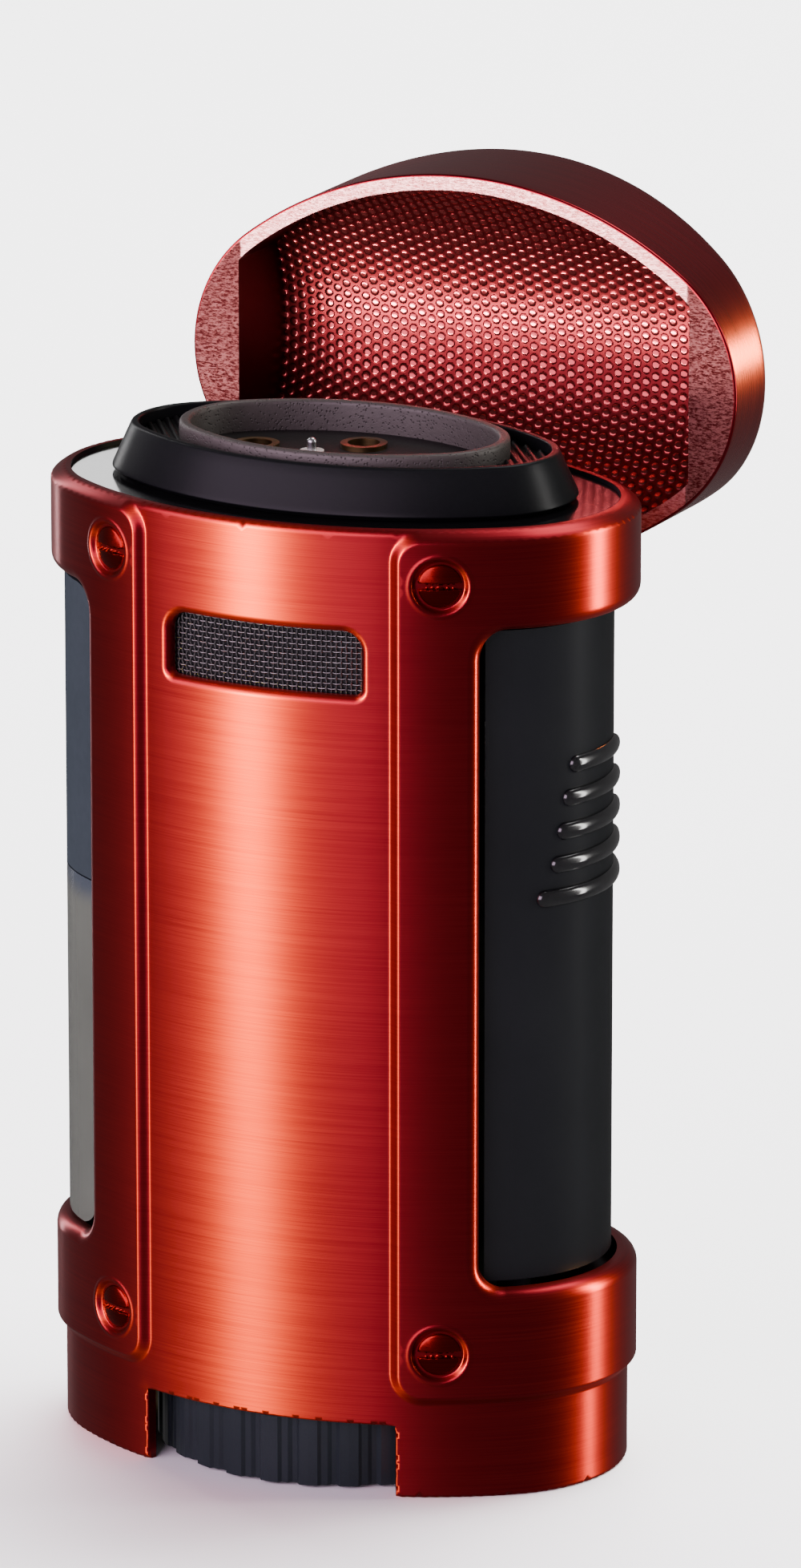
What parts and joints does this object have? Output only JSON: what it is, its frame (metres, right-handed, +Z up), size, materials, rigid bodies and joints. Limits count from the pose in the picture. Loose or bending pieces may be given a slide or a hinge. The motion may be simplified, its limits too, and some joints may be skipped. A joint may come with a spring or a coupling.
{
  "type": "torch lighter",
  "caption": "Pocket butane torch lighter with an oval metal case, a spring-opened hinged lid, a side trigger that works a valve and a piezo igniter, and a toothed flame wheel in the base.",
  "frame": {"origin": "centre of the casing's bottom edge, on the plane it stands on", "axes": "+X towards the trigger, -Y towards the front with the air window, +Z up; the lid is hinged at the back and drawn open"},
  "size_m": [0.038, 0.0388, 0.0769],
  "materials": {
    "red_shell": "satin",
    "liner_red": "satin",
    "mesh_steel": "satin",
    "screw_steel": "satin",
    "pressed_steel": "satin",
    "black_metal": "satin",
    "ring_metal": "matte",
    "brass": "satin",
    "black_plastic": "satin",
    "smoked_plastic": "gloss",
    "panel_grey": "gloss",
    "rubber": "matte",
    "tube_clear": "satin",
    "ceramic": "gloss",
    "lead_red": "satin",
    "wheel_metal": "satin"
  },
  "bodies": {
    "base": {"casing": "red_shell", "vent_mesh": "mesh_steel", "case_screws": "screw_steel", "deck_plate": "black_metal", "collar": "black_metal", "collar_grille": "black_metal", "flame_ring": "ring_metal", "burner_plate": "ring_metal", "burner_block": "brass", "jet_left": "brass", "jet_front": "brass", "jet_rear": "brass", "jet_right": "brass", "spark_rod": "screw_steel", "spark_sleeve": "ceramic", "spark_lead": "lead_red", "hinge_bracket": "pressed_steel", "hinge_pin": "screw_steel", "lid_spring": "screw_steel", "trigger_pin": "screw_steel", "trigger_spring": "screw_steel", "side_cover": "panel_grey", "fuel_tank": "smoked_plastic", "tank_cap": "smoked_plastic", "tank_gasket": "rubber", "fill_valve": "brass", "valve_body": "brass", "lever_pin": "screw_steel", "gas_tube": "tube_clear", "piezo_body": "black_plastic", "chassis": "black_plastic", "chassis_posts": "black_plastic", "chassis_head": "black_plastic", "base_plate": "black_metal", "base_screws": "screw_steel"},
    "lid": {"lid_shell": "red_shell", "lid_liner": "liner_red", "lid_arm": "pressed_steel", "lid_rivets": "screw_steel"},
    "trigger": {"trigger": "black_plastic", "grip_ribs": "black_plastic"},
    "plunger": {"piezo_plunger": "ceramic"},
    "lever": {"valve_lever": "pressed_steel"},
    "stem": {"valve_stem": "screw_steel"},
    "wheel": {"flame_wheel": "wheel_metal", "wheel_spindle": "brass"},
    "fill": {"fill_stem": "screw_steel"}
  },
  "joints": [
    {"name": "lid_hinge", "type": "hinge", "parent": "base", "child": "lid", "pos_m": [0, 0.01005, 0.05435], "axis": [1, 0, 0], "range_deg": [0, 90], "stiffness_Nm_per_rad": 0.0012, "springref_deg": -20.05},
    {"name": "trigger_hinge", "type": "hinge", "parent": "base", "child": "trigger", "pos_m": [0.0136, 0, 0.015], "axis": [0, -1, 0], "range_deg": [0, 6], "stiffness_Nm_per_rad": 0.15, "springref_deg": -5.73},
    {"name": "plunger_slide", "type": "slide", "parent": "base", "child": "plunger", "axis": [-1, 0, 0], "range_m": [0, 0.0031]},
    {"name": "lever_hinge", "type": "hinge", "parent": "base", "child": "lever", "pos_m": [0.0042, 0, 0.0462], "axis": [0, 1, 0], "range_deg": [0, 8]},
    {"name": "stem_slide", "type": "slide", "parent": "base", "child": "stem", "axis": [0, 0, 1], "range_m": [0, 0.00068], "stiffness_N_per_m": 0.001, "springref_m": 0.575},
    {"name": "wheel_hinge", "type": "hinge", "parent": "base", "child": "wheel", "pos_m": [0, 0, 0.003], "axis": [0, 0, 1], "range_deg": [-150, 150]},
    {"name": "fill_slide", "type": "slide", "parent": "base", "child": "fill", "axis": [0, 0, 1], "range_m": [0, 0.001], "stiffness_N_per_m": 400, "springref_m": -0.002}
  ],
  "couplings": [
    {"joint": "plunger_slide", "follows": "trigger_hinge", "m_per_rad": 0.02865},
    {"joint": "lever_hinge", "follows": "trigger_hinge", "ratio": 1.3},
    {"joint": "stem_slide", "follows": "trigger_hinge", "m_per_rad": 0.0062}
  ]
}
